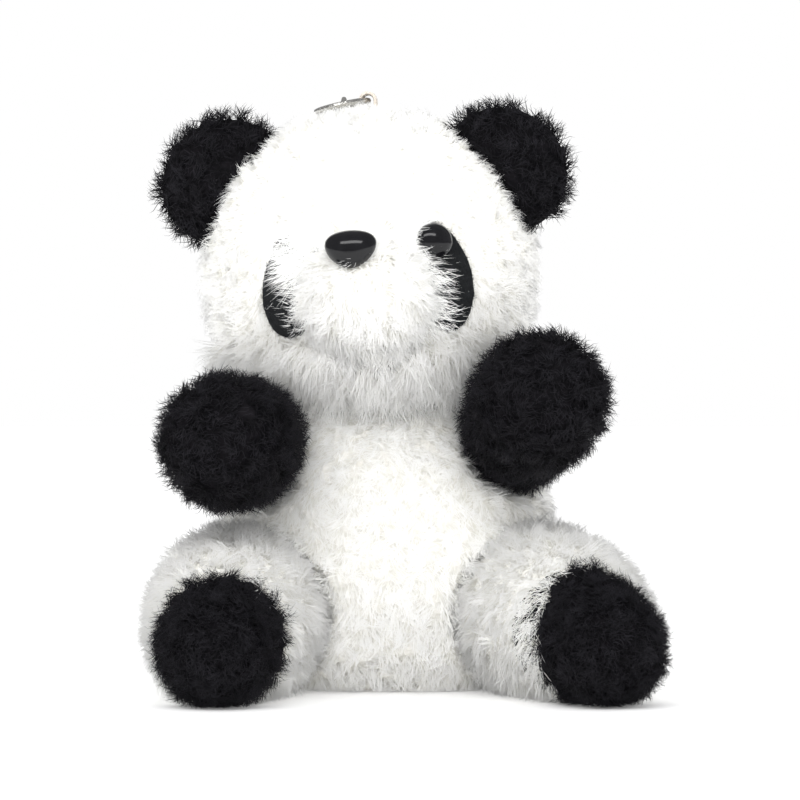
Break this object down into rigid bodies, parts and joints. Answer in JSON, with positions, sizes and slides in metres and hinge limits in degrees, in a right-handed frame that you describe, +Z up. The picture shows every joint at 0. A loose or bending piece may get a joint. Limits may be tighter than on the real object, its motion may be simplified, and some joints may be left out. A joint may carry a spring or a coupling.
{
  "type": "plush keychain",
  "caption": "Seated fluffy plush panda with raised paws, on a ribbon loop with a short chain, split key ring and swivel snap hook.",
  "frame": {"origin": "middle of the flat underside of the body, where the toy sits", "axes": "+Z up through the head, the face looks along -Y, +X to the viewer's right of the face"},
  "size_m": [0.0892, 0.0912, 0.1093],
  "materials": {
    "white_pile": "matte",
    "black_pile": "matte",
    "fibre_stuffing": "matte",
    "black_felt": "matte",
    "ribbon": "satin",
    "black_plastic": "gloss",
    "washer_plastic": "satin",
    "nickel_plate": "polished"
  },
  "bodies": {
    "torso": {"body_skin": "white_pile", "body_stuffing": "fibre_stuffing"},
    "head": {"head_skin": "white_pile", "head_stuffing": "fibre_stuffing", "muzzle_skin": "white_pile", "muzzle_stuffing": "fibre_stuffing", "nose": "black_plastic", "nose_washer": "washer_plastic", "eye_left": "black_plastic", "eye_right": "black_plastic", "eye_washer_left": "washer_plastic", "eye_washer_right": "washer_plastic", "eye_patch_left": "black_felt", "eye_patch_right": "black_felt", "ear_left": "black_pile", "ear_right": "black_pile", "hang_loop": "ribbon"},
    "arm_left": {"arm_skin_left": "black_pile", "arm_stuffing_left": "fibre_stuffing"},
    "arm_right": {"arm_skin_right": "black_pile", "arm_stuffing_right": "fibre_stuffing"},
    "leg_left": {"leg_skin_left": "white_pile", "foot_skin_left": "black_pile", "leg_stuffing_left": "fibre_stuffing"},
    "leg_right": {"leg_skin_right": "white_pile", "foot_skin_right": "black_pile", "leg_stuffing_right": "fibre_stuffing"},
    "ring_of_loop": {"jump_ring": "nickel_plate"},
    "link_1": {"chain_link_1": "nickel_plate"},
    "link_2": {"chain_link_2": "nickel_plate"},
    "link_3": {"chain_link_3": "nickel_plate"},
    "split_ring": {"key_ring": "nickel_plate"},
    "swivel": {"swivel_eye": "nickel_plate"},
    "clasp": {"snap_hook": "nickel_plate", "lever_pin": "nickel_plate", "lever_spring": "nickel_plate"},
    "clasp_lever": {"hook_lever": "nickel_plate"}
  },
  "joints": [
    {"name": "neck_nod", "type": "hinge", "parent": "torso", "child": "head", "pos_m": [0, 0, 0.03], "axis": [1, 0, 0], "range_deg": [-8, 4], "stiffness_Nm_per_rad": 0.3},
    {"name": "shoulder_left", "type": "hinge", "parent": "torso", "child": "arm_left", "pos_m": [-0.0238, -0.0085, 0.045], "axis": [1, 0, 0], "range_deg": [-18, 15], "stiffness_Nm_per_rad": 0.04},
    {"name": "shoulder_right", "type": "hinge", "parent": "torso", "child": "arm_right", "pos_m": [0.0224, -0.0085, 0.0448], "axis": [1, 0, 0], "range_deg": [-18, 15], "stiffness_Nm_per_rad": 0.04},
    {"name": "hip_left", "type": "hinge", "parent": "torso", "child": "leg_left", "pos_m": [-0.0255, -0.0095, 0.0155], "axis": [0, 0, 1], "range_deg": [-10, 10], "stiffness_Nm_per_rad": 0.05},
    {"name": "hip_right", "type": "hinge", "parent": "torso", "child": "leg_right", "pos_m": [0.025, -0.0095, 0.0155], "axis": [0, 0, 1], "range_deg": [-10, 10], "stiffness_Nm_per_rad": 0.05},
    {"name": "jump_ring_lift", "type": "hinge", "parent": "head", "child": "ring_of_loop", "pos_m": [-0.00326, 0.00301, 0.10764], "axis": [0.0523, 0.9986, 0], "range_deg": [0, 60]},
    {"name": "link_1_lift", "type": "hinge", "parent": "ring_of_loop", "child": "link_1", "pos_m": [-0.00779, 0.00816, 0.1066], "axis": [0.9978, -0.0523, 0.0401], "range_deg": [0, 45]},
    {"name": "link_2_sway", "type": "hinge", "parent": "link_1", "child": "link_2", "pos_m": [-0.00751, 0.01261, 0.1055], "axis": [-0.0108, 0.4714, 0.8818], "range_deg": [-15, 15]},
    {"name": "link_3_lift", "type": "hinge", "parent": "link_2", "child": "link_3", "pos_m": [-0.00721, 0.01666, 0.10334], "axis": [0.9978, -0.0523, 0.0401], "range_deg": [0, 30]},
    {"name": "key_ring_sway", "type": "hinge", "parent": "link_3", "child": "split_ring", "pos_m": [-0.00691, 0.02033, 0.10058], "axis": [0.0063, 0.6817, 0.7316], "range_deg": [-12, 12]},
    {"name": "swivel_swing", "type": "hinge", "parent": "split_ring", "child": "swivel", "pos_m": [-0.00575, 0.03325, 0.08854], "axis": [0.9978, -0.0523, 0.0401], "range_deg": [0, 50]},
    {"name": "swivel_turn", "type": "hinge", "parent": "swivel", "child": "clasp", "pos_m": [-0.00575, 0.03325, 0.08854], "axis": [-0.0416, -0.0278, 0.9987], "continuous": true},
    {"name": "lever_press", "type": "hinge", "parent": "clasp", "child": "clasp_lever", "pos_m": [-0.00294, 0.0334, 0.07874], "axis": [0.0511, 0.9982, 0.03], "range_deg": [0, 28], "stiffness_Nm_per_rad": 0.002, "springref_deg": -14.32}
  ]
}
